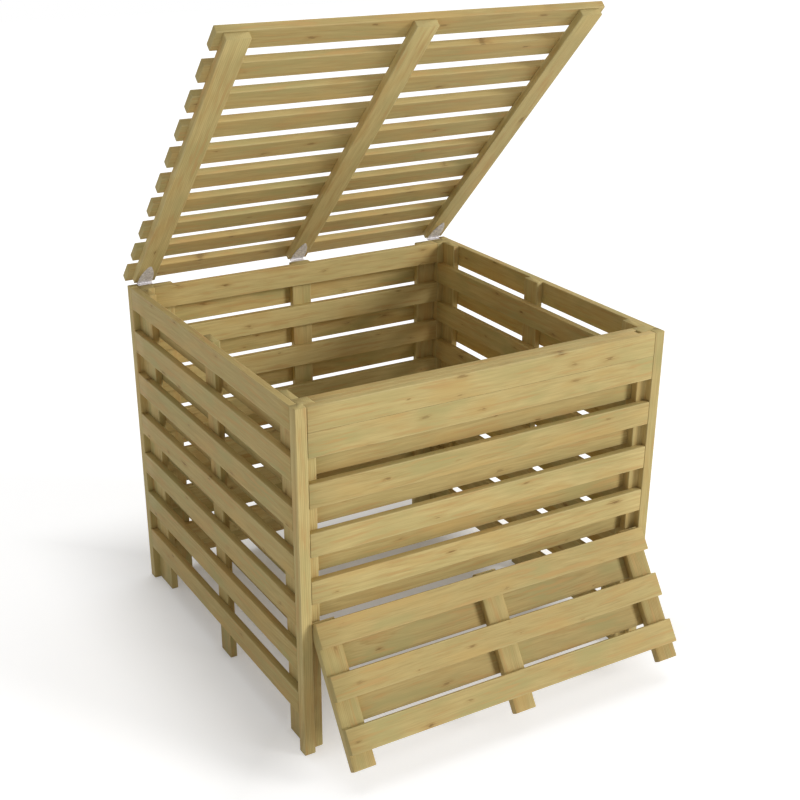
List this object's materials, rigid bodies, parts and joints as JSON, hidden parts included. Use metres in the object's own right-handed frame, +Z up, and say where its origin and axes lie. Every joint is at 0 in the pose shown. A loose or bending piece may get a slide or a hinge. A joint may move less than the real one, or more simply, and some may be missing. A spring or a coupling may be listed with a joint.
{
  "type": "slatted compost bin with hinged lid",
  "caption": "Slatted timber compost bin with staggered double-layer walls, a hinged slatted lid and a swing-out front hatch.",
  "frame": {"origin": "on the ground, at the centre of the foot of the back wall's middle batten", "axes": "+Z up, +X to the right seen from the front, front faces -Y"},
  "size_m": [1, 1.2148, 1.6124],
  "materials": {
    "treated_pine": "green-tinted pressure-treated softwood, planed, eased edges",
    "galvanised_steel": "bright zinc-plated steel"
  },
  "bodies": {
    "walls": {"back_inner_slats": "treated_pine", "back_left_batten": "treated_pine", "back_left_corner_post": "treated_pine", "back_middle_batten": "treated_pine", "back_outer_slats": "treated_pine", "back_right_batten": "treated_pine", "back_right_corner_post": "treated_pine", "front_inner_slats": "treated_pine", "front_left_corner_post": "treated_pine", "front_lower_slat": "treated_pine", "front_middle_slat": "treated_pine", "front_right_corner_post": "treated_pine", "front_second_board": "treated_pine", "front_top_board": "treated_pine", "front_top_rail": "treated_pine", "front_upper_slat": "treated_pine", "hatch_left_pivot_pin": "galvanised_steel", "hatch_right_pivot_pin": "galvanised_steel", "left_back_batten": "treated_pine", "left_front_batten": "treated_pine", "left_hinge_pin": "galvanised_steel", "left_hinge_wall_leaf": "galvanised_steel", "left_inner_slats": "treated_pine", "left_middle_batten": "treated_pine", "left_outer_slats": "treated_pine", "middle_hinge_pin": "galvanised_steel", "middle_hinge_wall_leaf": "galvanised_steel", "right_back_batten": "treated_pine", "right_front_batten": "treated_pine", "right_hinge_pin": "galvanised_steel", "right_hinge_wall_leaf": "galvanised_steel", "right_inner_slats": "treated_pine", "right_middle_batten": "treated_pine", "right_outer_slats": "treated_pine"},
    "lid": {"left_hinge_lid_leaf": "galvanised_steel", "lid_left_batten": "treated_pine", "lid_middle_batten": "treated_pine", "lid_right_batten": "treated_pine", "lid_slat_01": "treated_pine", "lid_slat_02": "treated_pine", "lid_slat_03": "treated_pine", "lid_slat_04": "treated_pine", "lid_slat_05": "treated_pine", "lid_slat_06": "treated_pine", "lid_slat_07": "treated_pine", "lid_slat_08": "treated_pine", "lid_slat_09": "treated_pine", "lid_slat_10": "treated_pine", "middle_hinge_lid_leaf": "galvanised_steel", "right_hinge_lid_leaf": "galvanised_steel"},
    "hatch": {"hatch_inner_slats": "treated_pine", "hatch_left_batten": "treated_pine", "hatch_lower_slat": "treated_pine", "hatch_middle_batten": "treated_pine", "hatch_middle_slat": "treated_pine", "hatch_right_batten": "treated_pine", "hatch_upper_slat": "treated_pine"}
  },
  "joints": [
    {"name": "lid_hinge", "type": "hinge", "parent": "walls", "child": "lid", "pos_m": [0, 0.019, 0.8854], "axis": [-1, 0, 0], "range_deg": [-45.4, 49.7]},
    {"name": "hatch_swing", "type": "hinge", "parent": "walls", "child": "hatch", "pos_m": [0, -0.9635, 0.3415], "axis": [-1, 0, 0], "range_deg": [-34, 56]}
  ]
}
